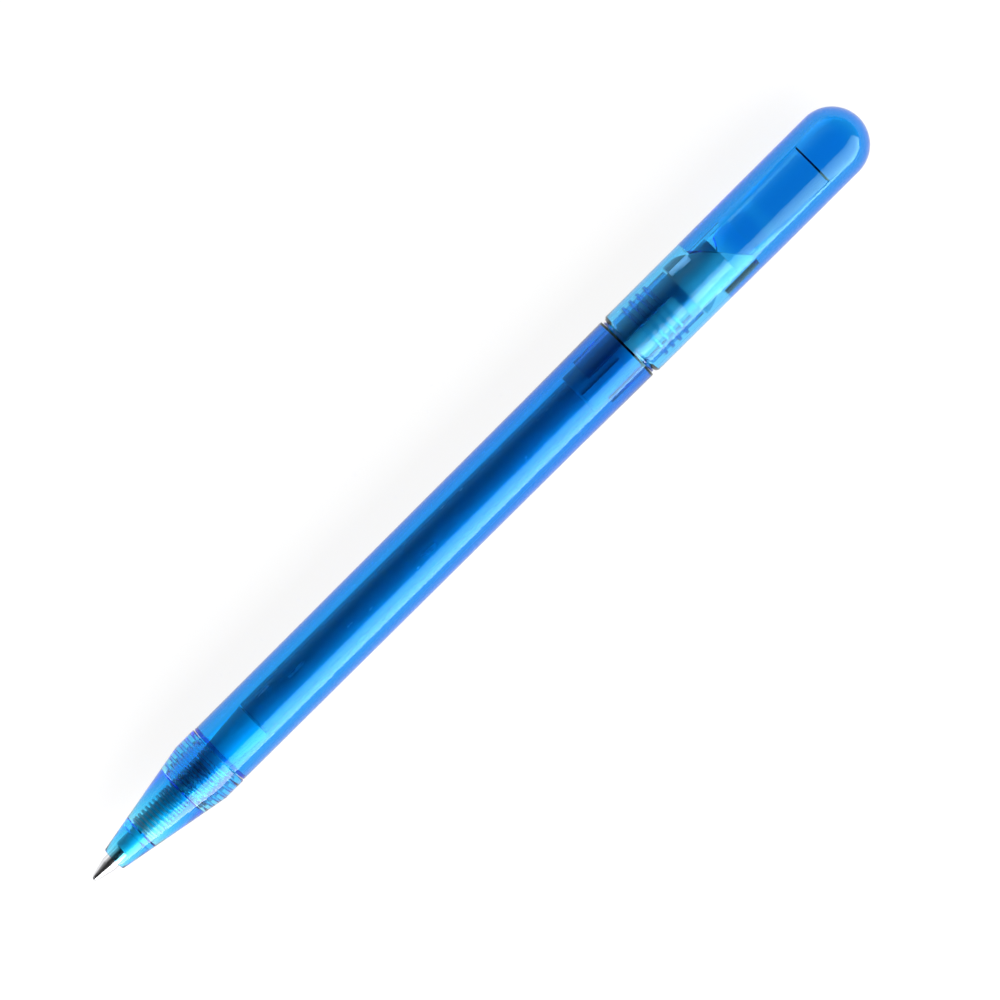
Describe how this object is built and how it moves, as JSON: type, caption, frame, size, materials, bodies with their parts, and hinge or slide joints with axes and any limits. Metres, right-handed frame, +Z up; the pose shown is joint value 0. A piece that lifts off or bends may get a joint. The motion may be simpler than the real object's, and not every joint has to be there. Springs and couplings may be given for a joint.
{
  "type": "gel pen",
  "caption": "Slim clear blue twist-action pen with a conical metal writing tip, a long straight barrel and a round-ended cap with a flush clip.",
  "frame": {"origin": "centre of the footprint, on the table that the pen lies on", "axes": "+X along the pen from the writing tip to the round end of the cap, +Z up through the clip, +Y to the left seen from the tip's rear"},
  "size_m": [0.1404, 0.01, 0.01],
  "materials": {
    "clear_blue_plastic": "clear, polished",
    "clear_teal_plastic": "clear, satin",
    "refill_tube": "clear, satin",
    "gel_ink": "wet gel",
    "ink_follower": "clear grease",
    "tip_metal": "turned, bright",
    "ball_metal": "polished",
    "spring_wire": "drawn wire"
  },
  "bodies": {
    "barrel": {"barrel": "clear_blue_plastic", "guide_sleeve": "clear_blue_plastic"},
    "refill": {"writing_ball": "ball_metal", "tip_socket": "tip_metal", "tip_adapter": "refill_tube", "ink_tube": "refill_tube", "gel_ink": "gel_ink", "ink_follower": "ink_follower", "pusher": "clear_teal_plastic"},
    "spring": {"return_spring": "spring_wire"},
    "nose": {"nose_cone": "clear_blue_plastic"},
    "cap": {"cap": "clear_blue_plastic"},
    "clip": {"clip": "clear_blue_plastic"}
  },
  "joints": [
    {"name": "cap_twist", "type": "hinge", "parent": "barrel", "child": "cap", "pos_m": [0.04915, 0, 0.00498], "axis": [-1, 0, 0], "range_deg": [0, 90]},
    {"name": "refill_slide", "type": "slide", "parent": "barrel", "child": "refill", "axis": [1, 0, 0], "range_m": [0, 0.0057], "deforming": ["return_spring"]},
    {"name": "nose_advance", "type": "slide", "parent": "barrel", "child": "spring", "axis": [-1, 0, 0], "range_m": [0, 0.0055]},
    {"name": "nose_turn", "type": "hinge", "parent": "spring", "child": "nose", "pos_m": [-0.0535, 0, 0.00498], "axis": [-1, 0, 0], "range_deg": [0, 1980]},
    {"name": "clip_flex", "type": "hinge", "parent": "cap", "child": "clip", "pos_m": [0.06135, 0, 0.00908], "axis": [0, 1, 0], "range_deg": [0, 2.5], "stiffness_Nm_per_rad": 0.3}
  ],
  "couplings": [
    {"joint": "cap_twist", "follows": "refill_slide", "rad_per_m": 275.57},
    {"joint": "nose_turn", "follows": "nose_advance", "rad_per_m": 6283.1}
  ]
}
